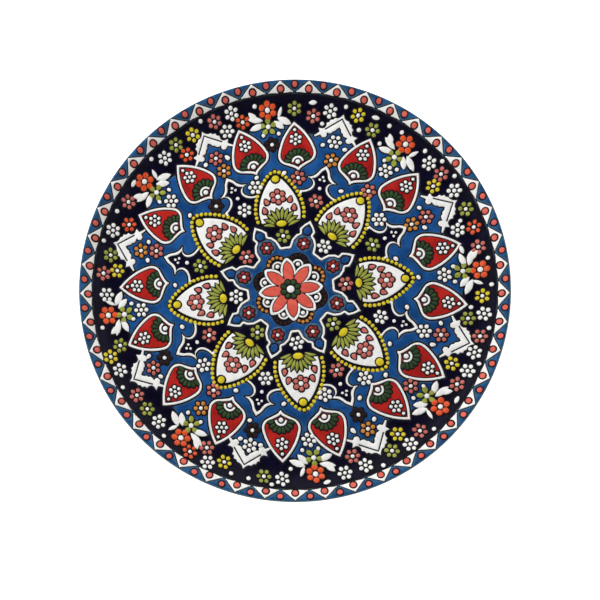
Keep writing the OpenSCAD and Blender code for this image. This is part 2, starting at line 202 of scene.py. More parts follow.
def under_line(coat):
    """Section of the underside with a coat of this thickness, from the middle out to the lip's side."""
    start_z = foot_h - coat
    run, climb = lip_x - well_r, lip_z - start_z
    radius = (run ** 2 + climb ** 2 - (lip_r + coat) ** 2) / (2 * (climb - lip_r - coat))
    turn = math.atan2(run, start_z + radius - lip_z)
    line = [(r, start_z) for r in (0.0, 40.0)]
    line += [(foot_mid + side * (foot_w / 2 + hollow_r), start_z) for side in (-1, 1)]
    for k in range(17):
        a = turn * k / 16
        line.append((well_r + radius * math.sin(a), start_z + radius * (1 - math.cos(a))))
    for k in range(1, 5):
        a = turn - math.pi / 2 + (math.pi / 2 - turn) * k / 4
        line.append((lip_x + (lip_r + coat) * math.cos(a), lip_z + (lip_r + coat) * math.sin(a)))
    return line


def new_piece(name, mesh, material, slot, *nodes):
    """Link a finished mesh as a piece of the plate that stands for the named parts."""
    piece = bpy.data.objects.new(name, mesh)
    scene.collection.objects.link(piece)
    mesh.materials.clear()
    mesh.materials.append(material)
    mesh.polygons.foreach_set("use_smooth", [True] * len(mesh.polygons))
    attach(piece, "root")
    if nodes:
        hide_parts(*nodes)


def turned_mesh(name, section, sides=256):
    """A closed section spun round the axis; points on the axis become one point each."""
    verts, rows = [], []
    for r, z in section:
        if r < 1e-6:
            rows.append([len(verts)] * sides)
            verts.append((0, 0, z * mm))
            continue
        rows.append(list(range(len(verts), len(verts) + sides)))
        for k in range(sides):
            a = 2 * math.pi * k / sides
            verts.append((r * mm * math.cos(a), r * mm * math.sin(a), z * mm))
    faces = []
    count = len(rows)
    for i in range(count):
        low, high = rows[i], rows[(i + 1) % count]
        for k in range(sides):
            j = (k + 1) % sides
            corners = []
            for v in (low[k], low[j], high[j], high[k]):
                if v not in corners:
                    corners.append(v)
            if len(corners) > 2:
                faces.append(corners)
    mesh = bpy.data.meshes.new(name)
    mesh.from_pydata(verts, [], faces)
    return mesh


foot_section = []
for side in (-1, 1):
    # The foot's edges are rounded off, and it runs into the wall in a small hollow
    corner_x = foot_mid + side * (foot_w / 2 - foot_round)
    arc = [
        (corner_x + side * foot_round * math.sin(a), foot_round * (1 - math.cos(a)))
        for a in (math.radians(15 * k) for k in range(7))
    ]
    hollow = [
        (foot_mid + side * (foot_w / 2 + hollow_r * (1 - math.cos(a))), foot_h - hollow_r * (1 - math.sin(a)))
        for a in (math.radians(22.5 * k) for k in range(5))
    ]
    half = arc + hollow
    foot_section += half[::-1] if side < 0 else half

under = under_line(0.0)
clay_section = under[:2] + under[4:] + face_line(0.0)[::-1]
clay_paint, tree, shader = surface("fired_clay")
_, grain, _ = mottle(
    tree, shader, (0.42, 0.27, 0.17), (0.66, 0.49, 0.34), stops=(0.3, 0.72), Scale=260.0, Detail=8.0
)
shader.inputs["Roughness"].default_value = 0.85
relief(tree, shader, grain, 0.4, 0.0002)
new_piece("turned_dish", turned_mesh("turned_dish", clay_section), clay_paint, "clay_bare", "clay_body")
new_piece("turned_foot", turned_mesh("turned_foot", foot_section), clay_paint, "clay_bare", "foot_ring")

# ---------------------------------------------------------------- back glaze
# Clear glaze over the underside, dipped on as one thin even coat and left off the foot ring.
# It is pale cream over the light clay, with faint turning rings showing through.

glaze_paint, tree, shader = surface("back_glaze")
place, _, _ = mottle(
    tree, shader, (0.66, 0.58, 0.46), (0.80, 0.75, 0.66), stops=(0.3, 0.7), Scale=35.0, Detail=6.0
)
ring_pitch = 3.307
split = node_of(tree, "ShaderNodeSeparateXYZ", Vector=place)
across = node_of(tree, "ShaderNodeCombineXYZ", X=split.outputs["X"], Y=split.outputs["Y"])
reach_out = node_of(tree, "ShaderNodeVectorMath", {"operation": "LENGTH"}, Vector=across.outputs["Vector"])
along = node_of(
    tree, "ShaderNodeMath", {"operation": "MULTIPLY"},
    i0=reach_out.outputs["Value"], i1=2 * math.pi / (ring_pitch * mm),
)
rings = node_of(tree, "ShaderNodeMath", {"operation": "SINE"}, i0=along.outputs["Value"])
shader.inputs["Roughness"].default_value = 0.16
relief(tree, shader, rings.outputs["Value"], 0.25, 0.0003)

back_glaze_t = 0.3
glazed = under_line(back_glaze_t)
bare = under_line(0.0)
glaze_verts, glaze_faces = [], []
for section in (glazed[3:] + bare[:2:-1], glazed[:3] + bare[2::-1]):
    # One coat outside the foot and one inside it
    coat_mesh = turned_mesh("back_coat", section)
    shift = len(glaze_verts)
    glaze_verts += [v.co.copy() for v in coat_mesh.vertices]
    glaze_faces += [tuple(v + shift for v in p.vertices) for p in coat_mesh.polygons]
glaze_mesh = bpy.data.meshes.new("glazed_back")
glaze_mesh.from_pydata(glaze_verts, [], glaze_faces)
new_piece("glazed_back", glaze_mesh, glaze_paint, "clear_glaze", "back_glaze")

# ---------------------------------------------------------------- white slip and black contour colour
# White slip is poured over the face and the lip before the painting, and shows only as the lip's edge.
# The painter's black contour colour is one coat over it, and shows as drawn lines between the colours.

slip_paint, tree, shader = surface("white_slip")
mottle(tree, shader, (0.72, 0.69, 0.63), (0.88, 0.86, 0.82), Scale=120.0, Detail=5.0)
shader.inputs["Roughness"].default_value = 0.2
slip_section = face_line(slip_t) + face_line(0.0)[::-1]
new_piece("slip_coat", turned_mesh("slip_coat", slip_section), slip_paint, "white_slip", "white_slip")

black_paint, tree, shader = surface("contour_black")
_, cloud, _ = mottle(
    tree, shader, (0.003, 0.003, 0.005), (0.014, 0.011, 0.012), stops=(0.35, 0.8), Scale=300.0, Detail=4.0
)
shader.inputs["Roughness"].default_value = 0.4
shader.inputs["Specular IOR Level"].default_value = 0.15
relief(tree, shader, cloud, 0.3, 0.0002)
contour_section = face_line(slip_t + contour_t)[:-2] + face_line(slip_t)[-3::-1]
new_piece(
    "drawn_ground", turned_mesh("contour_coat", contour_section), black_paint, "contour_black", "contour_coat"
)

# ---------------------------------------------------------------- outer navy
# The navy glaze round the border flowers: a wide ring from the border's line in to the hearts.
# It is brushed in thickly after the lines are drawn, and pools against them.

face_arc, face_turn = slope(floor_z, lip_r + slip_t + contour_t)
face_lip = lip_r + slip_t + contour_t


def rise(r):
    """Height of the painted face at a distance from the axis, all in mm."""
    r = np.asarray(r, float)
    climb = np.clip(r - well_r, 0, face_arc * math.sin(face_turn))
    on_arc = floor_z + face_arc - np.sqrt(face_arc ** 2 - climb ** 2)
    past = np.clip(r - lip_x, -face_lip, face_lip * 0.999)
    on_lip = lip_z + np.sqrt(face_lip ** 2 - past ** 2)
    return np.where(r > well_r + face_arc * math.sin(face_turn), on_lip, on_arc)


# The painter set the middle of the pattern 3 mm to the left; it comes true again at the border
drift_r = [0.0, 80.0, 141.0]
drift_x = [-3.0, -2.75, 0.0]


def lay(mesh):
    """Lay a mesh drawn flat, in mm, on the dish: its z becomes height above the face."""
    count = len(mesh.vertices)
    co = np.empty(count * 3)
    mesh.vertices.foreach_get("co", co)
    co = co.reshape(-1, 3)
    r = np.hypot(co[:, 0], co[:, 1])
    co[:, 0] += np.interp(r, drift_r, drift_x)
    co[:, 2] += rise(np.hypot(co[:, 0], co[:, 1]))
    mesh.vertices.foreach_set("co", (co * mm).ravel())
    mesh.update()
    return mesh


def on_spoke(points, turn):
    """Points of a motif stood on a direction, in degrees clockwise from +Y."""
    a = math.radians(turn)
    return [(x * math.cos(a) + y * math.sin(a), -x * math.sin(a) + y * math.cos(a)) for x, y in points]


def out_at(direction, radius):
    """The point this far from the middle of the pattern in a direction."""
    return on_spoke([(0, radius)], direction)[0]


def circle(radius, x=0.0, y=0.0):
    count = max(16, int(radius * 2 * math.pi / 0.9))
    steps = [2 * math.pi * k / count for k in range(count)]
    return [(x + radius * math.cos(a), y + radius * math.sin(a)) for a in steps]


def curve(points, steps=4):
    """Catmull-Rom curve through a short list of points."""
    line = []
    for i in range(len(points) - 1):
        a, b = points[max(i - 1, 0)], points[i]
        c, d = points[i + 1], points[min(i + 2, len(points) - 1)]
        for j in range(steps):
            t = j / steps
            line.append(tuple(
                0.5 * (2 * q + (s - p) * t + (2 * p - 5 * q + 4 * s - w) * t * t
                       + (3 * q - p - 3 * s + w) * t ** 3)
                for p, q, s, w in zip(a, b, c, d)
            ))
    return line + [points[-1]]


def both_sides(half):
    """A whole outline from its right half, which runs from the axis out and back to the axis."""
    return half + [(-x, y) for x, y in half[::-1] if x > 0.01]


def evenly(outline, step=0.9):
    """The same closed outline with points no further apart than step."""
    line = []
    for (ax, ay), (bx, by) in zip(outline, outline[1:] + outline[:1]):
        parts = max(1, math.ceil(math.hypot(bx - ax, by - ay) / step))
        line += [(ax + (bx - ax) * k / parts, ay + (by - ay) * k / parts) for k in range(parts)]
    return line


def counter_clockwise(outline):
    x, y = np.array(outline).T
    area = np.sum(x * np.roll(y, -1) - np.roll(x, -1) * y)
    return outline if area > 0 else outline[::-1]


def cut_out(adds, cuts, extra=()):
    """Triangles of the flat shape inside any of adds and outside all of cuts."""
    points, loops = [], []
    for outline in adds + cuts:
        loop = counter_clockwise(evenly(outline))
        loops.append(list(range(len(points), len(points) + len(loop))))
        points += loop
    points += [tuple(p) for p in extra]
    out = geometry.delaunay_2d_cdt([Vector(p) for p in points], [], loops, 0, 1e-5)
    flat = np.array([(v.x, v.y) for v in out[0]])
    wanted = []
    for face, inside in zip(out[2], out[5]):
        if any(i < len(adds) for i in inside) and not any(i >= len(adds) for i in inside):
            wanted.append(face)
    return flat, np.array(wanted)


def rim_of(triangles):
    """Edges that only one triangle uses, each with the shape on its left."""
    edges = np.concatenate([triangles[:, [0, 1]], triangles[:, [1, 2]], triangles[:, [2, 0]]])
    seen = set(map(tuple, edges))
    return np.array([e for e in map(tuple, edges) if (e[1], e[0]) not in seen])


def distance_to(points, starts, ends):
    """Distance from each point to the nearest of the short segments."""
    tree = kdtree.KDTree(len(starts))
    for k, (x, y) in enumerate((starts + ends) / 2):
        tree.insert((x, y, 0), k)
    tree.balance()
    near = np.array([[found[1] for found in tree.find_n((x, y, 0), 5)] for x, y in points])
    start, along = starts[near], ends[near] - starts[near]
    p = points[:, None, :] - start
    t = np.clip((p * along).sum(2) / np.maximum((along ** 2).sum(2), 1e-12), 0, 1)
    return np.sqrt(((p - t[..., None] * along) ** 2).sum(2).min(1))


def inset_points(flat, rim, depths):
    """Points at the given depths inside the rim, square to it at each of its corners."""
    after = {a: b for a, b in rim}
    before = {b: a for a, b in rim}
    found = []
    for v, w in after.items():
        u = before.get(v)
        if u is None:
            continue
        d1, d2 = flat[v] - flat[u], flat[w] - flat[v]
        d1, d2 = d1 / (np.hypot(*d1) + 1e-12), d2 / (np.hypot(*d2) + 1e-12)
        n1, n2 = np.array([-d1[1], d1[0]]), np.array([-d2[1], d2[0]])
        mid = n1 + n2
        size = np.hypot(*mid)
        if size < 1e-3:
            continue
        mid /= size
        lean = max(mid @ n1, 0.3)
        turns_left = d1[0] * d2[1] - d1[1] * d2[0] > 0
        for depth in depths:
            if turns_left:
                found.append((*(flat[v] + mid * depth / lean), depth))
            else:
                found.append((*(flat[v] + mid * depth), depth))
                if lean < 0.93:
                    found.append((*(flat[v] + n1 * depth), depth))
                    found.append((*(flat[v] + n2 * depth), depth))
    return np.array(found)


# A pool's sloping edge ends edge_sink down in the black coat, and its flat underside lies pool_sink down.
# Past the depth where a pool ends, its edge goes on for the width of the skirt.
pool_sink = 0.16
edge_sink = 0.1
skirt = 0.3


def pool_mesh(name, adds, cuts=(), start=0.35, until=None, height=0.4, shoulder=0.55, base=0.0, spacing=2.4):
    """Enamel filling a flat shape, from start mm inside its outline, as deep as until if that is given.
    Its top is rounded down at both edges, and below them it runs on into the black ground."""
    adds, cuts = list(adds), list(cuts)
    flat, triangles = cut_out(adds, cuts)
    rim = rim_of(triangles)
    depths = [start, start + 0.1 * shoulder, start + 0.4 * shoulder, start + shoulder]
    if until:
        depths += [until - shoulder, until - 0.4 * shoulder, until - 0.1 * shoulder, until, until + skirt]
        depths = sorted(d for d in depths if d > 0)
    near = inset_points(flat, rim, depths)
    ends_a, ends_b = flat[rim[:, 0]], flat[rim[:, 1]]
    near = near[distance_to(near[:, :2], ends_a, ends_b) > near[:, 2] - 0.03][:, :2]
    low, high = flat.min(0), flat.max(0)
    columns = np.arange(low[0], high[0], spacing)
    lines = np.arange(low[1], high[1], spacing * 0.87)
    grid = np.array([(x + (i % 2) * spacing / 2, y) for i, y in enumerate(lines) for x in columns])
    if len(grid):
        deep = distance_to(grid, ends_a, ends_b)
        grid = grid[(deep > depths[-1] + 0.4 * spacing) & (deep < (until or 1e9))]
    extra = np.concatenate([near, grid]) if len(grid) else near
    flat, triangles = cut_out(adds, cuts, extra)
    depth = distance_to(flat, ends_a, ends_b)
    if until:
        triangles = triangles[(depth[triangles] < until + skirt + 0.01).all(1)]
    used, triangles = np.unique(triangles, return_inverse=True)
    triangles = triangles.reshape(-1, 3)
    flat, depth = flat[used], depth[used]
    inside = depth - start
    if until:
        inside = np.minimum(inside, until - depth)
    t = np.clip(inside / shoulder, 0, 1)
    top = np.where(inside > 0, height * np.sqrt(1 - (1 - t) ** 2), -edge_sink) + base
    top = np.where((inside <= 0) & (inside > -0.02), base - 0.01, top)
    count = len(flat)
    below = np.full(count, base - pool_sink)
    verts = np.concatenate([np.column_stack([flat, top]), np.column_stack([flat, below])])
    rim = rim_of(triangles)
    faces = [tuple(t) for t in triangles]
    faces += [(a + count, c + count, b + count) for a, b, c in triangles]
    faces += [(b, a, a + count, b + count) for a, b in rim]
    mesh = bpy.data.meshes.new(name)
    mesh.from_pydata([tuple(v) for v in verts], [], [tuple(int(i) for i in f) for f in faces])
    edge = mesh.attributes.new("edge", "FLOAT", "POINT")
    edge.data.foreach_set("value", np.concatenate([inside, np.zeros(count)]).astype(np.float32))
    return lay(mesh)


def pools(name, adds, cuts, material, slot, *nodes, **shape):
    """A piece made of pools of one colour."""
    new_piece(name, pool_mesh(name, adds, cuts, **shape), material, slot, *nodes)


def enamel(name, dark, light, rough=0.16, patch=150.0, contrast=(0.35, 0.68), pale=None, gloss=0.4):
    """Gloss enamel, mottled between two tones; pale is the tone painted on the edge beside the lines, partly
    thin glaze and partly a painted highlight on the pool's shoulder.
    """
    material, tree, shader = surface(name)
    place, _, colour = mottle(
        tree, shader, dark, light, stops=contrast, Scale=patch, Detail=5.0, Distortion=0.6
    )
    # A pale band painted about a millimetre in from each pool's edge and broken up by noise: partly glaze
    # thinning there, partly a painted highlight where the rounded shoulder meets the light.
    if pale:
        edge = node_of(tree, "ShaderNodeAttribute", {"attribute_name": "edge"})
        breaks = node_of(tree, "ShaderNodeTexNoise", Vector=place, Scale=420.0, Detail=2.0)
        spread = node_of(
            tree, "ShaderNodeMath", {"operation": "MULTIPLY_ADD"},
            i0=breaks.outputs["Fac"], i1=1.2, i2=edge.outputs["Fac"],
        )
        fade = {"From Min": 0.75, "From Max": 1.25, "To Min": pale[1], "To Max": 0.0}
        thin = node_of(
            tree, "ShaderNodeMapRange", {"interpolation_type": "SMOOTHSTEP"},
            Value=spread.outputs["Value"], **fade,
        )
        thin_glaze_and_highlight = node_of(
            tree, "ShaderNodeMix", {"data_type": "RGBA"},
            i0=thin.outputs["Result"], i6=colour, i7=(*pale[0], 1),
        )
        tree.links.new(thin_glaze_and_highlight.outputs[2], shader.inputs["Base Color"])
    shader.inputs["Roughness"].default_value = rough
    shader.inputs["Specular IOR Level"].default_value = gloss
    waves = node_of(tree, "ShaderNodeTexNoise", Vector=place, Scale=330.0, Detail=2.0)
    relief(tree, shader, waves.outputs["Fac"], 0.25, 0.0004)
    return material


vases = [16, 61.5, 108, 153.5, 196, 240.5, 285, 330.5]
panels = [38, 85, 130.5, 174.5, 217.5, 262.5, 307, 352.5]
heart_feet = [4, 29, 49.5, 74.5, 95, 121.5, 141, 167, 185.5, 208.5, 230.5, 253.5, 273.5, 299.5, 320, 344]
heart_tips = [
    0.5, 27, 47, 75, 95.7, 121.3, 139.3, 165.3, 184, 206.7, 228.2, 251.3, 271, 296.5, 317.8, 341.7
]
border_r = 140.2
heart_half = curve([
    (0, 0), (2.2, 2.6), (6, 4.6), (11.5, 7.6), (13.7, 12.5),
    (12.2, 19.5), (9, 26.5), (4.8, 32.5), (0, 37.5)
])
heart_line = both_sides(heart_half)


heart_foot_r = 85.0
heart_tip_r = 121.8


def heart_frames():
    """Each heart's foot, and the direction from it to the heart's point."""
    frames = []
    for foot, tip in zip(heart_feet, heart_tips):
        (fx, fy), (tx, ty) = out_at(foot, heart_foot_r), out_at(tip, heart_tip_r)
        frames.append((fx, fy, math.degrees(math.atan2(tx - fx, ty - fy))))
    return frames


def in_heart(points, place):
    fx, fy, turn = place
    return [(x + fx, y + fy) for x, y in on_spoke(points, turn)]


hearts = heart_frames()
heart_outlines = [in_heart(heart_line, place) for place in hearts]
chevron_half = [
    (0, 131.2), (1.7, 128.6), (3.2, 127.6), (5.2, 127.4), (6.2, 125.9), (8.0, 125.5), (8.4, 123.6),
    (10.0, 122.6), (9.6, 120.6), (10.0, 119.0), (11.4, 118.0), (14.6, 117.8), (12.9, 115.0), (15.8, 111.6),
    (14.8, 110.6), (11.6, 112.9), (9.6, 111.5), (7.5, 112.0), (6.7, 113.8), (7.4, 115.5), (5.8, 115.5),
    (4.2, 116.2), (3.4, 117.8), (2.0, 118.4), (1.3, 120.2), (0, 121.4)
]
chevron_slit = both_sides([(0, 128.0), (9.7, 118.0), (9.3, 117.6), (0, 127.3)])
chevrons = [on_spoke(both_sides(chevron_half), a) for a in vases]
blue_bays = [on_spoke([(-13, 109), (-9, 118), (0, 125), (9, 118), (13, 109)], a) for a in vases]
blue_gaps = [
    on_spoke([(-17, 106), (-17, 117), (-8, 119.5), (8, 119.5), (17, 117), (17, 106)], a) for a in panels
]
blue_outer = [circle(114.0)] + blue_bays + blue_gaps

# The grey edge painted a little in from the drawn lines is a painted highlight on the navy pool's shoulder.
navy_paint = enamel(
    "navy_enamel", (0.0022, 0.0018, 0.007), (0.005, 0.004, 0.018), rough=0.2, patch=110.0,
    pale=((0.03, 0.033, 0.05), 0.25), gloss=0.12,
)
pools(
    "navy_ring", [circle(border_r)], blue_outer + heart_outlines + chevrons,
    navy_paint, "enamel_navy", "outer_navy_ground", height=0.3, spacing=2.6,
)

# ---------------------------------------------------------------- blue field
# The blue glaze between the hearts, the chevrons, the vases and the white petals, brushed round them.
# It is laid unevenly, so it is mottled; where it meets the drawn lines it is greyish, partly from thin glaze
# and partly from a painted highlight.

vase_half = [(0, 62), (13, 66)] + curve([
    (13.4, 70.6), (9.4, 72.0), (6.6, 74.4), (5.6, 77.4), (7.2, 80.2), (11.0, 81.4)
]) + curve([(11.0, 81.4), (7.4, 83.0), (5.0, 85.6), (3.2, 89.2), (0, 92.8)])
vase_line = both_sides(vase_half)
panel_half = [(0, 47.8)] + curve([(13.8, 49), (14.7, 56), (13.4, 64), (10.2, 71.5), (5.6, 78.5), (0, 84.3)])
panel_line = both_sides(panel_half)
bead_half = curve([(15.6, 47.5), (17.4, 54), (16.8, 61), (14.6, 68.5), (10.9, 75.8), (6.2, 82), (0, 87.2)])
bead_line = both_sides([(0, 46.6)] + bead_half)
inner_r = 69.0
panel_shapes = [on_spoke(bead_line, a) for a in panels]
vase_shapes = [on_spoke(vase_line, a) for a in vases]
# Its greyish edge beside the lines is partly thin glaze and partly a painted highlight on the pool's
# shoulder.
blue_paint = enamel(
    "blue_enamel", (0.005, 0.038, 0.135), (0.014, 0.083, 0.275), rough=0.18, patch=95.0, contrast=(0.3, 0.66),
    pale=((0.055, 0.105, 0.15), 0.75), gloss=0.25,
)
pools(
    "blue_field_enamel", blue_outer,
    [circle(inner_r)] + heart_outlines + chevrons + panel_shapes + vase_shapes,
    blue_paint, "enamel_blue", "blue_field", start=0.75, height=0.32,
)

# ---------------------------------------------------------------- inner navy
# Navy round the star, between the white petals and up into the necks of the vases.
# It is the same glaze as the outer ring, laid in bays between the star, the petals and the vases.

vase_in_half = [(0, 60), (11.4, 66)] + curve([
    (11.0, 69.4), (7.6, 71.0), (4.9, 73.4), (3.8, 76.8), (5.0, 79.8), (7.0, 81.0)
]) + curve([(7.0, 81.0), (4.6, 82.4), (3.1, 84.4), (1.9, 87.2), (0, 89.4)])
vase_fill = both_sides(vase_in_half)
vase_fills = [on_spoke(vase_fill, a) for a in vases]
tip_half = [(0, 28), (9.4, 29), (9.2, 35), (7, 39.2), (5, 40.8), (6, 43.8), (3.6, 47.6), (0, 51.5)]
tip_line = both_sides(tip_half)
star_shape = [circle(31.0)] + [on_spoke(tip_line, a) for a in vases]
pools(
    "navy_bays", [circle(inner_r + 0.8)], star_shape + panel_shapes + vase_shapes,
    navy_paint, "enamel_navy", "inner_navy_ground", start=0.5, height=0.3,
)
pools("navy_necks", vase_fills, panel_shapes, navy_paint, "enamel_navy", "vase_fills", height=0.3)

white_paint = enamel(
    "white_enamel", (0.74, 0.73, 0.70), (0.86, 0.855, 0.84), rough=0.14, patch=240.0, contrast=(0.25, 0.6)
)
pools(
    "vase_lines", vase_shapes, vase_fills + panel_shapes,
    white_paint, "enamel_white", "vase_borders", start=0.25, height=0.5,
)

# ---------------------------------------------------------------- border
# A blue band over the lip with forty-five white triangles standing on the border's black line.
# The blue and white fill the spaces between drawn lines; the blue runs right to the rim.

teeth = 45
first_tooth = 4.4
tooth = [(-9.5, 141.0), (0, 140.6), (9.5, 141.0), (5.0, 144.8), (0, 148.9), (-5.0, 144.8)]
tooth_turns = [first_tooth + k * 360 / teeth for k in range(teeth)]
tooth_shapes = [on_spoke(tooth, a) for a in tooth_turns]
# Its pale edge beside the lines is partly thin glaze and partly a painted highlight on the pool's shoulder.
band_paint = enamel(
    "band_enamel", (0.008, 0.050, 0.135), (0.020, 0.100, 0.25), rough=0.2, patch=140.0,
    pale=((0.05, 0.12, 0.16), 0.8), gloss=0.2,
)
band_r = 149.7
pools(
    "border_blue", [circle(band_r)], [circle(border_r)] + tooth_shapes,
    band_paint, "enamel_blue", "border_band", start=0.4, height=0.23, spacing=1.0,
)
pools(
    "border_teeth", tooth_shapes, [], white_paint, "enamel_white", "border_triangles",
    start=0.3, height=0.4, shoulder=0.4,
)

# ---------------------------------------------------------------- hearts
# Sixteen hearts with their points outwards: a white outline, and red inside it.
# White and red are kept apart by a drawn black line, as is the white from the blue round it.

pools(
    "heart_outlines", heart_outlines, [], white_paint, "enamel_white", "heart_borders",
    start=0.35, until=1.95, height=0.5,
)
red_paint = enamel(
    "red_enamel", (0.27, 0.010, 0.009), (0.45, 0.020, 0.015), rough=0.16, patch=80.0, contrast=(0.3, 0.65),
    gloss=0.3,
)
pools("heart_reds", heart_outlines, [], red_paint, "enamel_red", "heart_fills", start=2.7, height=0.36)

# ---------------------------------------------------------------- chevrons
# A scalloped white chevron over each tip of the star, with a knob and a tail at both ends.
# A thin black line is drawn in the white, a little way in from the chevron's upper edge.

slits = [on_spoke(chevron_slit, a) for a in vases]
pools(
    "chevron_whites", chevrons, slits, white_paint, "enamel_white", "brackets",
    start=0.22, height=0.45, shoulder=0.4,
)

# ---------------------------------------------------------------- white petals
# Eight big white petals round the star, each a smooth pool of white inside one drawn line.
# The drops and flowers that stand on them come later, as the petal fillings.

panel_whites = [on_spoke(panel_line, a) for a in panels]
pools("petal_whites", panel_whites, [], white_paint, "enamel_white", "petal_panels", start=0.3, height=0.4)

# ---------------------------------------------------------------- star
# The eight-pointed star: a white outline all round, and blue inside it up to the rosette's ring of beads.
# A black line is left bare between the white and the blue.

pools(
    "star_outline", star_shape, [], white_paint, "enamel_white", "star_border",
    start=0.35, until=1.8, height=0.5, shoulder=0.5,
)
# Behind the rosette the blue stops in eight scallops, round the rings of beads to come
arch_r = 18.8
bead_ring = 6.3
rosette_edge = [circle(21.2)] + [on_spoke(circle(5.7, 0, arch_r), a) for a in vases]
pools(
    "star_blue", star_shape, rosette_edge, blue_paint, "enamel_blue", "star_field", "centre_ground",
    start=2.45, height=0.34,
)

# ---------------------------------------------------------------- rosette
# Eight pointed coral petals with a white outline, at the middle of the star.
# The outline is one piece of white, and the petals run together round the eye.

outer_petal = both_sides([(0, 3), (4.8, 10.5), (5.5, 14), (4.9, 17), (3.6, 19.8), (1.7, 22), (0, 23)])
inner_petal = both_sides([(0, 3), (3.8, 9.5), (3.7, 13.5), (3.1, 16), (2.1, 18.4), (0, 20.4)])
outer_petals = [circle(13.0)] + [on_spoke(outer_petal, a) for a in panels]
coral_petals = [circle(8.8)] + [on_spoke(inner_petal, a) for a in panels]
pools(
    "rosette_outline", outer_petals, coral_petals, white_paint, "enamel_white", "rosette_border",
    start=0.25, height=0.45, shoulder=0.4,
)
coral_paint = enamel("coral_enamel", (0.58, 0.080, 0.056), (0.72, 0.125, 0.088), rough=0.16, patch=130.0)
pools(
    "rosette_corals", coral_petals, [], coral_paint, "enamel_coral", "rosette_petals",
    start=0.35, height=0.42, shoulder=0.7,
)

# ---------------------------------------------------------------- small flowers
# Flowers of six round dabs about a white one, dotted over the navy and the blue, each dab in a black line.
# The dabs are dripped from a bulb, so each stands up as a drop, and no two are quite alike.

dab_fields = ("turn", "long", "wide", "point", "drop", "bend", "lift", "high")


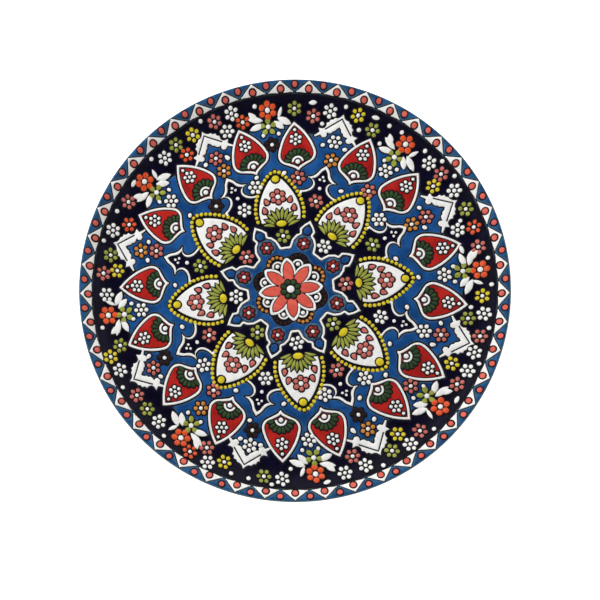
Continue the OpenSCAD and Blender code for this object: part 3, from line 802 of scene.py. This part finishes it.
def dab_tree():
    """Drops of enamel on points: each point says its turn, size, shape and height."""
    tree = bpy.data.node_groups.new("enamel_dabs", "GeometryNodeTree")
    sockets = (
        ("Geometry", "NodeSocketGeometry", None), ("Enamel", "NodeSocketMaterial", None),
        ("Sides", "NodeSocketInt", 12), ("Rings", "NodeSocketInt", 3), ("Seed", "NodeSocketInt", 7),
        ("Grow", "NodeSocketFloat", 0.0), ("Flatten", "NodeSocketFloat", 1.0),
        ("Sink", "NodeSocketFloat", 0.0), ("Hand", "NodeSocketFloat", 0.06),
    )
    for name, kind, value in sockets:
        socket = tree.interface.new_socket(name, in_out="INPUT", socket_type=kind)
        if value is not None:
            socket.default_value = value
    tree.interface.new_socket("Geometry", in_out="OUTPUT", socket_type="NodeSocketGeometry")
    given = tree.nodes.new("NodeGroupInput").outputs

    def math_of(operation, *values):
        inputs = {f"i{k}": value for k, value in enumerate(values)}
        return node_of(tree, "ShaderNodeMath", {"operation": operation}, **inputs).outputs["Value"]

    def named(name, kind="FLOAT"):
        node = node_of(tree, "GeometryNodeInputNamedAttribute", {"data_type": kind}, Name=name)
        return node.outputs["Attribute"]

    def stored(flow, name, value, kind="FLOAT"):
        settings = {"data_type": kind, "domain": "POINT"}
        node = node_of(
            tree, "GeometryNodeStoreNamedAttribute", settings, Geometry=flow, Name=name, Value=value
        )
        return node.outputs["Geometry"]

    def chance(salt):
        seed = math_of("ADD", given["Seed"], float(salt))
        node = node_of(tree, "FunctionNodeRandomValue", {"data_type": "FLOAT"}, i2=-1.0, i3=1.0, Seed=seed)
        return node.outputs[1]

    def varied(value, salt, share):
        swing_by = math_of("MULTIPLY", math_of("MULTIPLY", chance(salt), given["Hand"]), share)
        return math_of("MULTIPLY_ADD", value, swing_by, value)

    points = stored(given["Geometry"], "long", varied(named("long"), 1, 1.0))
    points = stored(points, "wide", varied(named("wide"), 2, 1.0))
    off_true = math_of("MULTIPLY", chance(3), given["Hand"])
    points = stored(points, "turn", math_of("ADD", named("turn"), off_true))
    points = stored(points, "centre", node_of(tree, "GeometryNodeInputPosition").outputs[0], "FLOAT_VECTOR")

    # A cone with a flat base, swelled into the top half of a ball
    cone_inputs = {"Side Segments": given["Rings"], "Radius Top": 0.0, "Radius Bottom": 1.0}
    cone = node_of(
        tree, "GeometryNodeMeshCone", {"fill_type": "NGON"}, Vertices=given["Sides"], **cone_inputs
    )
    spot = node_of(tree, "GeometryNodeInputPosition").outputs[0]
    split = node_of(tree, "ShaderNodeSeparateXYZ", Vector=spot).outputs
    squares = [math_of("MULTIPLY", split[k], split[k]) for k in (0, 1)]
    out = math_of("SQRT", math_of("ADD", *squares))
    quarter = math_of("MULTIPLY", out, math.pi / 2)
    swell = math_of("DIVIDE", math_of("SINE", quarter), math_of("MAXIMUM", out, 0.001))
    drop_shape = node_of(
        tree, "ShaderNodeCombineXYZ", X=math_of("MULTIPLY", split[0], swell),
        Y=math_of("MULTIPLY", split[1], swell), Z=math_of("COSINE", quarter),
    ).outputs[0]
    drop_mesh = stored(cone.outputs["Mesh"], "local", drop_shape, "FLOAT_VECTOR")

    drops = node_of(tree, "GeometryNodeInstanceOnPoints", Points=points, Instance=drop_mesh)
    real = node_of(tree, "GeometryNodeRealizeInstances", Geometry=drops.outputs["Instances"])

    local = node_of(tree, "ShaderNodeSeparateXYZ", Vector=named("local", "FLOAT_VECTOR")).outputs
    half_long = math_of("MULTIPLY_ADD", named("long"), 0.5, given["Grow"])
    half_wide = math_of("MULTIPLY_ADD", named("wide"), 0.5, given["Grow"])
    along2 = math_of("MULTIPLY", local[1], local[1])
    lens = math_of("POWER", math_of("MAXIMUM", math_of("SUBTRACT", 1.0, along2), 0.0),
                   math_of("MULTIPLY", named("point"), 0.5))
    taper = math_of("SUBTRACT", 1.0, math_of("MULTIPLY", named("drop"), local[1]))
    sideways = math_of("MULTIPLY", math_of("MULTIPLY", local[0], half_wide), math_of("MULTIPLY", lens, taper))
    sideways = math_of("MULTIPLY_ADD", named("bend"), along2, sideways)
    lengthways = math_of("MULTIPLY", local[1], half_long)
    tall = math_of("MULTIPLY", math_of("MULTIPLY", local[2], named("high")), given["Flatten"])
    height = math_of("ADD", math_of("SUBTRACT", named("lift"), given["Sink"]), tall)
    shaped = node_of(tree, "ShaderNodeCombineXYZ", X=sideways, Y=lengthways, Z=height).outputs[0]
    turned = node_of(
        tree, "ShaderNodeVectorRotate", {"rotation_type": "Z_AXIS"},
        Vector=shaped, Angle=math_of("MULTIPLY", named("turn"), -1.0),
    ).outputs[0]
    place = node_of(
        tree, "ShaderNodeVectorMath", {"operation": "ADD"}, i0=turned, i1=named("centre", "FLOAT_VECTOR")
    ).outputs[0]
    placed = node_of(tree, "GeometryNodeSetPosition", Geometry=real.outputs["Geometry"], Position=place)
    coloured = node_of(
        tree, "GeometryNodeSetMaterial", Geometry=placed.outputs["Geometry"], Material=given["Enamel"]
    )
    node_of(tree, "NodeGroupOutput", Geometry=coloured.outputs["Geometry"])
    return tree


dab_nodes = dab_tree()


def dab(x, y, turn=0.0, long=3.0, wide=None, point=0.0, drop=0.0, bend=0.0, lift=0.38, high=0.5):
    """One drop of enamel: turn in degrees clockwise from +Y, sizes in mm."""
    return (x, y, math.radians(turn), long, wide or long, point, drop, bend, lift, high)


def dab_mesh(name, rows, material, **settings):
    """All the drops of one colour as one mesh, laid on the dish."""
    points = bpy.data.meshes.new(name + "_points")
    points.from_pydata([(row[0], row[1], 0) for row in rows], [], [])
    for k, field in enumerate(dab_fields):
        values = points.attributes.new(field, "FLOAT", "POINT")
        values.data.foreach_set("value", [row[2 + k] for row in rows])
    carrier = bpy.data.objects.new(name + "_points", points)
    scene.collection.objects.link(carrier)
    modifier = carrier.modifiers.new("dabs", "NODES")
    modifier.node_group = dab_nodes
    settings["Enamel"] = material
    for item in dab_nodes.interface.items_tree:
        if item.in_out == "INPUT" and item.name in settings:
            modifier[item.identifier] = settings[item.name]
    depsgraph = bpy.context.evaluated_depsgraph_get()
    mesh = bpy.data.meshes.new_from_object(carrier.evaluated_get(depsgraph), depsgraph=depsgraph)
    bpy.data.objects.remove(carrier)
    for field in dab_fields + ("local", "centre"):
        if field in mesh.attributes:
            mesh.attributes.remove(mesh.attributes[field])
    return lay(mesh)


lined = []


def dabs(name, rows, material, slot, *nodes, line=True, sides=12):
    """A piece made of drops; those with a drawn line get a black one round them later."""
    if line:
        lined.extend(rows)
    new_piece(name, dab_mesh(name, rows, material, Sides=sides), material, slot, *nodes)


def petals(x, y, turn=0.0, count=6, reach=3.7, long=3.15, wide=2.95, **shape):
    """A ring of petals about a point."""
    rows = []
    for k in range(count):
        a = math.radians(turn + k * 360 / count)
        spot_x, spot_y = x + reach * math.sin(a), y + reach * math.cos(a)
        rows.append(dab(spot_x, spot_y, math.degrees(a), long, wide, **shape))
    return rows


flowers_at = {
    "white": [
        (11.7, 131), (47, 131), (58.5, 132.5), (70.3, 122.5), (98.3, 133), (110.5, 132.5), (116.5, 133),
        (144.5, 135), (159, 133), (165.5, 133.5), (184, 133.5), (206.5, 135.5), (225.3, 132), (244.8, 133.5),
        (268.5, 130.5), (288.5, 133.5), (316.3, 131), (338, 123.5), (341, 134),
        (16, 110.5), (108.5, 96.5), (195.7, 113.5),
        (38, 107.5), (85, 106.5), (174.5, 106.5), (262.5, 106.5), (307, 106.5),
        (51.5, 79.5), (141.5, 81), (163, 78), (229, 81), (341.5, 77.5),
        (38, 38.5), (174.5, 38.5), (262.5, 38.5), (108, 65.5), (196, 65.5), (330.5, 65.5)
    ],
    "pink": [
        (6.7, 126), (52, 132), (77.5, 132), (105.3, 133), (121.5, 131), (139.7, 132), (161.5, 124),
        (208.7, 126.5), (235.7, 132), (275, 133.5), (298.5, 132), (335.3, 133),
        (61.5, 107), (108, 108), (240.5, 111.5), (286.5, 99), (330.5, 109), (130.5, 106.5),
        (38, 89), (217.5, 89.5), (4, 80.5),
        (85, 38.5), (307, 38.5), (16, 65.5), (151.5, 65.5), (240.5, 65.5)
    ],
    "olive": [
        (0.5, 130.5), (26.3, 127.5), (65.2, 133), (100.3, 123), (150, 132), (189.5, 133), (230.5, 132),
        (252, 127), (281, 130.5), (321.5, 133),
        (352.5, 38.5), (130.5, 38.5), (217.5, 38.5), (61.5, 65.5), (285, 65.5)
    ],
    "yellow": [
        (20.3, 133), (53.5, 123), (92.8, 131), (116.2, 121.5), (145.5, 124.5), (202, 130.5), (249.5, 136),
        (276.5, 124), (327.5, 132)
    ],
    "orange": [(71.3, 133), (212.5, 135), (292.2, 124.5), (322.5, 123), (343.7, 126)],
    "amber": [(17, 97), (61.5, 96), (152.8, 111), (217.5, 105), (285, 110), (331, 98)],
    "brown": [(153.2, 99.5), (196, 103), (241.7, 101), (352.5, 105.5), (319, 79.5)],
}
enamels = {
    "white": white_paint,
    "pink": enamel("pink_enamel", (0.44, 0.100, 0.082), (0.60, 0.17, 0.14), patch=260.0),
    "olive": enamel("olive_enamel", (0.22, 0.245, 0.034), (0.36, 0.385, 0.068), patch=260.0),
    "yellow": enamel("yellow_enamel", (0.56, 0.44, 0.012), (0.72, 0.58, 0.030), patch=260.0),
    "orange": enamel("orange_enamel", (0.60, 0.058, 0.012), (0.75, 0.10, 0.024), patch=260.0),
    "amber": enamel("amber_enamel", (0.44, 0.16, 0.025), (0.62, 0.26, 0.05), patch=260.0),
    "brown": enamel("brown_enamel", (0.012, 0.006, 0.006), (0.034, 0.013, 0.013), patch=260.0, gloss=0.2),
    "green": enamel("green_enamel", (0.014, 0.040, 0.009), (0.032, 0.078, 0.020), patch=260.0),
    "dark_red": enamel("dark_red_enamel", (0.20, 0.012, 0.014), (0.36, 0.028, 0.026), patch=260.0),
    "coral": coral_paint,
    "pale": enamel("thin_blue_enamel", (0.045, 0.10, 0.17), (0.09, 0.16, 0.23), patch=400.0),
    "blue": enamel("blue_drop_enamel", (0.006, 0.045, 0.16), (0.013, 0.078, 0.26), patch=200.0),
}
eyes = []
for colour, places in flowers_at.items():
    rows = []
    for k, (direction, radius) in enumerate(places):
        x, y = out_at(direction, radius)
        turn = direction + 17 * k
        rows += petals(x, y, turn)
        eyes.append(dab(x, y, turn, 2.8, high=0.6))
    dabs(f"{colour}_flowers", rows, enamels[colour], f"enamel_{colour}", f"flowers_{colour}")

# ---------------------------------------------------------------- loose dots
# Single white drops of enamel that fill the empty places on the navy and the blue.
# Each is one touch of the bulb, and some are drawn out long or to a point.

dots_at = [
    (10, 121.5), (16, 136), (22.3, 124), (30.3, 135), (34.5, 135.5), (30.5, 121.5), (43.5, 135), (49.3, 138),
    (55, 138), (67.8, 126.5), (81.5, 136.5), (89.5, 137), (96.5, 124), (102.5, 137.5), (113.4, 138),
    (136.5, 137.5), (154.5, 138), (181.5, 126), (187, 138), (193.8, 136.5), (199, 136.5), (221.3, 137),
    (239.8, 137.5), (258.5, 136), (284.6, 137.5), (294.3, 136), (313, 137), (331.5, 137.5), (348.3, 134.5)
]
ovals_at = [(6, 135), (25.5, 135.8), (77, 121), (125.7, 136.5), (171.2, 137.3), (304, 135.8)]
inner_dots_at = [
    (12, 106.5), (20.5, 107.3), (57.2, 106.5), (65, 102.8), (103.7, 105.8), (149, 107.3), (192, 111.8),
    (199.5, 111), (198, 96.8), (236.5, 110.3), (282, 103.5), (289, 106.5), (326, 108.8),
    (357, 84), (343.5, 84), (27, 78.8), (74, 76.5), (99.5, 81.8), (120, 78.8), (149, 90), (184, 81),
    (208.5, 81), (251, 80.3), (272.5, 81), (85, 89), (133.5, 89), (307, 89)
]
drops_at = [(112.5, 105), (157.8, 108), (245, 111), (334.5, 105.8)]
dot_kinds = [
    (dots_at, 0, dict(long=3.1)),
    (ovals_at, 80, dict(long=6.0, wide=3.2, point=0.4)),
    (inner_dots_at, 60, dict(long=3.6, wide=2.9)),
    (drops_at, -20, dict(long=4.6, wide=3.0, drop=0.3)),
]
rows = []
for places, turned_by, shape in dot_kinds:
    for direction, radius in places:
        rows.append(dab(*out_at(direction, radius), direction + turned_by, **shape))
for a in panels:
    for side in (-1, 1):
        x, y = on_spoke([(side * 5.5, 113.0)], a)[0]
        rows.append(dab(x, y, a, 3.2, 2.8))
dabs("loose_dots", rows, white_paint, "enamel_white", "white_dots")

# ---------------------------------------------------------------- border dots
# A coral drop of enamel in each white triangle and one in each blue space between two of them.
# They are flatter than the drops in the dish, which keeps them within the plate's height.

rows = []
for a in tooth_turns:
    rows.append(dab(*out_at(a, 143.3), a, 4.0, lift=0.48, high=0.4))
    rows.append(dab(*out_at(a + 180 / teeth, 146.0), a, 3.9, lift=0.38, high=0.26))
dabs("coral_border_dots", rows, coral_paint, "enamel_coral", "border_dots")

# ---------------------------------------------------------------- heart fillings
# At each heart's foot a white arch round a dot, with eight green petals spread over it; a white flower
# and a dot go up to the point. They stand on the red, each in its own black line.

fan_count = 8
fan_ring = 7.0
flower_y = 24
green_rows, white_rows, arches, arch_lines = [], [], [], []
red_top = 0.43


def in_place(rows_at, place):
    """Drops given in a motif's own frame, stood in their place on the plate."""
    fx, fy, turn = place
    moved = []
    for row in rows_at:
        (x, y), = on_spoke([row[:2]], turn)
        moved.append((x + fx, y + fy, row[2] + math.radians(turn), *row[3:]))
    return moved


def half_ring(inner, outer, x, y, count=12):
    steps = [math.pi * k / count for k in range(count + 1)]
    line = [(x + outer * math.cos(a), y + outer * math.sin(a)) for a in steps]
    return line + [(x + inner * math.cos(a), y + inner * math.sin(a)) for a in steps[::-1]]


for place in hearts:
    fan = []
    for k in range(fan_count):
        a = math.radians(-80 + 160 * k / (fan_count - 1))
        fan.append(dab(
            fan_ring * math.sin(a), 7.6 + fan_ring * math.cos(a), math.degrees(a), 4.8, 2.3,
            drop=-0.28, lift=red_top
        ))
    green_rows += in_place(fan, place)
    arches.append(in_heart(half_ring(2.7, 4.3, 0, 7.4), place))
    arch_lines.append(in_heart(half_ring(0.01, 4.9, 0, 6.9), place))
    inside = [dab(0, 7.4, 0, 3.5, lift=red_top + 0.05)]
    inside += petals(0, flower_y, 10, 6, 3.3, 2.6, 2.45, lift=red_top)
    inside += [dab(0, flower_y, 0, 2.4, lift=red_top, high=0.6), dab(0, 31, 0, 2.4, lift=red_top)]
    white_rows += in_place(inside, place)
dabs("heart_fans_green", green_rows, enamels["green"], "enamel_green", "heart_fans")
pools(
    "heart_arch_whites", arches, [], white_paint, "enamel_white", "heart_arches",
    start=0.05, height=0.3, shoulder=0.4, base=red_top,
)
dabs("heart_blossoms", white_rows, white_paint, "enamel_white", "heart_flowers")
arch_black = pool_mesh("heart_arch_lines", arch_lines, start=0.05, height=0.12, shoulder=0.2, base=red_top)

# ---------------------------------------------------------------- petal fillings
# Each white petal holds a yellow sun with ten olive leaves, a pink flower and four pink drops,
# with a yellow drop at its point and a row of small yellow drops all round its edge.

suns, leaves, pinks, tips, beads = [], [], [], [], []
leaf_count = 10
leaf_ring = 8.6
flower_y = 67
white_top = 0.5
bead_path = np.array(curve([
    (16.3, 50.6), (17, 57.2), (15.6, 65.6), (12.4, 73), (8.2, 79.6), (3.6, 84.4), (0, 85.6)
]))
bead_run = np.concatenate([[0], np.cumsum(np.hypot(*np.diff(bead_path, axis=0).T))])
bead_steps = np.linspace(0, bead_run[-1], 14)
bead_x, bead_y = (np.interp(bead_steps, bead_run, bead_path[:, k]) for k in (0, 1))
for a in panels:
    place = (0, 0, a)
    suns += in_place([dab(0, 47.6, 0, 4.8, 7.2, lift=white_top, high=0.6)], place)
    rows = []
    for k in range(leaf_count):
        b = math.radians(-82 + 164 * k / (leaf_count - 1))
        rows.append(dab(
            leaf_ring * math.sin(b), 46.2 + leaf_ring * math.cos(b), math.degrees(b) * 0.92, 8.6, 2.35,
            point=0.8, bend=0.7 * math.sin(b), lift=white_top
        ))
    leaves += in_place(rows, place)
    rows = petals(0, flower_y, 0, 6, 3.85, 3.5, 3.5, lift=white_top)
    for side in (-1, 1):
        rows.append(dab(side * 8.4, 64.3, side * 22, 4.6, 3.0, drop=0.45, lift=white_top))
        rows.append(dab(side * 10.4, 58.2, side * 10, 4.6, 3.0, drop=0.45, lift=white_top))
    pinks += in_place(rows, place)
    eyes += in_place([dab(0, flower_y, 0, 3.5, lift=white_top, high=0.6)], place)
    tips += in_place([dab(0, 80.2, 0, 5.4, lift=white_top, high=0.65)], place)
    spots = [(side * x, y) for side in (-1, 1) for x, y in zip(bead_x[:-1], bead_y[:-1])]
    spots.append((bead_x[-1], bead_y[-1]))
    beads += in_place([dab(x, y, 0, 2.75, lift=0.1, high=0.6) for x, y in spots], place)
yellow = enamels["yellow"]
dabs("petal_suns", suns, yellow, "enamel_yellow", "panel_suns")
dabs("petal_leaves", leaves, enamels["olive"], "enamel_olive", "panel_leaves")
dabs("petal_pinks", pinks, enamels["pink"], "enamel_pink", "panel_blossoms")
dabs("petal_tips", tips, yellow, "enamel_yellow", "panel_tips")
dabs("petal_beads", beads, yellow, "enamel_yellow", "panel_beads")

# ---------------------------------------------------------------- star fillings
# A dark red flower in the foot of each tip, on thinner blue, and a blue knob in its neck.
# The thinner blue is one wide flat drop, paler than the blue of the star.

reds, halos, knobs = [], [], []
flower_y = 33.8
star_top = 0.46
for a in vases:
    place = (0, 0, a)
    reds += in_place(petals(0, flower_y, 0, 6, 3.0, 2.7, 2.6, lift=star_top), place)
    eyes += in_place([dab(0, flower_y, 0, 2.6, lift=star_top, high=0.55)], place)
    halos += in_place([dab(0, flower_y, 0, 12.2, lift=0.33, high=0.1)], place)
    knobs += in_place([dab(0, 43.4, 0, 6.0, 5.2, lift=0.38, high=0.4)], place)
dabs("star_reds", reds, enamels["dark_red"], "enamel_dark_red", "star_flowers")
dabs("star_halos", halos, enamels["pale"], "enamel_blue", line=False, sides=24)
dabs("star_knobs", knobs, enamels["blue"], "enamel_blue")

# ---------------------------------------------------------------- vase fillings
# Three small white drops up each vase's neck, over a larger one.
# They stand on the navy with no drawn line round them.

rows = []
for a in vases:
    neck = [dab(0, 83.8, 0, 2.0), dab(0, 75.2, 0, 2.7)]
    neck += [dab(side * 1.6, 81.4, side * 60, 2.0, 1.8) for side in (-1, 1)]
    rows += in_place(neck, (0, 0, a))
dabs("vase_drops", rows, white_paint, "enamel_white", "vase_trefoils", line=False)

# ---------------------------------------------------------------- bouquets
# Between two hearts a big orange flower and an olive star-flower, in six white pointed leaves.
# Both flowers have a white middle, and every leaf and petal its own black line.

oranges, olives, leaf_rows = [], [], []
leaf_lines = [
    ((-8.4, 123.4), (-14.6, 130.0), 4.6), ((-4.8, 123.6), (-15.6, 126.0), 4.6),
    ((6.0, 124.6), (9.2, 131.4), 2.8), ((-4.6, 121.2), (-14.4, 117.8), 4.6),
    ((3.0, 122.8), (9.4, 116.0), 4.8), ((5.4, 124.6), (15.0, 119.0), 5.0),
]
for a in panels:
    place = (0, 0, a)
    oranges += in_place(petals(-1, 130.3, 0, 6, 4.5, 4.5, 4.4, high=0.6), place)
    olives += in_place(petals(-1.5, 118.8, 0, 5, 4.3, 5.2, 3.9, point=0.5, drop=-0.05, lift=0.34), place)
    eyes += in_place([dab(-1, 130.5, 0, 3.8, high=0.6), dab(-1.5, 119, 0, 3.6, lift=0.34, high=0.6)], place)
    rows = []
    for (ax, ay), (bx, by), wide in leaf_lines:
        turn = math.degrees(math.atan2(bx - ax, by - ay))
        long = math.hypot(bx - ax, by - ay) * 1.05
        rows.append(dab((ax + bx) / 2, (ay + by) / 2, turn, long, wide, point=0.8))
    leaf_rows += in_place(rows, place)
dabs("bouquet_whites", leaf_rows, white_paint, "enamel_white", "bouquet_leaves")
dabs("bouquet_olives", olives, enamels["olive"], "enamel_olive", "bouquet_stars")
dabs("bouquet_oranges", oranges, enamels["orange"], "enamel_orange", "bouquet_blossoms")

# ---------------------------------------------------------------- rosette fillings
# Eight green drops round a white one at the very middle, and a white arch with a dot and five beads
# between two petals. The beads are brown in one gap and amber in the next.

coral_top = 0.5
green = petals(0, 0, 22, 8, 5.2, 3.5, 3.3, lift=coral_top)
dabs("rosette_greens", green, enamels["green"], "enamel_green", "rosette_eye")
middle = [dab(0, 0, 0, 5.6, lift=coral_top, high=0.7)]
dabs("rosette_middle", middle, white_paint, "enamel_white", "centre_dot")
arch_shapes, arch_dots, bead_rows = [], [], {"brown": [], "amber": []}
bead_turn = 27
for k, a in enumerate(vases):
    place = (0, 0, a)
    arch_shapes.append(on_spoke(half_ring(2.6, 4.1, 0, 18.2), a))
    arch_dots += in_place([dab(0, 18.7, 0, 2.9, lift=0.0, high=0.6)], place)
    ring_beads = []
    for b in range(-2, 3):
        turn = b * bead_turn
        x, y = out_at(turn, bead_ring)
        ring_beads.append(dab(x, arch_r + y, turn, 2.5, 2.4, lift=0.0, high=0.6))
    bead_rows["brown" if k % 2 == 0 else "amber"] += in_place(ring_beads, place)
pools(
    "rosette_arches", arch_shapes, outer_petals, white_paint, "enamel_white", "scallop_arches",
    start=0.15, height=0.5, shoulder=0.4,
)
dabs("rosette_arch_dots", arch_dots, white_paint, "enamel_white", line=False)
for colour, rows in bead_rows.items():
    dabs(
        f"rosette_beads_{colour}", rows, enamels[colour], f"enamel_{colour}", f"scallop_beads_{colour}",
        line=False,
    )

# ---------------------------------------------------------------- eyes and drawn lines
# The white middles of the flowers outside the hearts, and the black lines drawn round the drops. The
# vases' drops, the thin blue in the star's tips and the drops in the rosette's gaps have none.

dabs("flower_middles", eyes, white_paint, "enamel_white", "flower_eyes")
line_mesh = dab_mesh("drawn_lines", lined, black_paint, Grow=0.95, Flatten=0.3, Sink=0.04, Rings=2)
new_piece("drawn_lines", line_mesh, black_paint, "contour_black")
new_piece("drawn_arches", arch_black, black_paint, "contour_black")
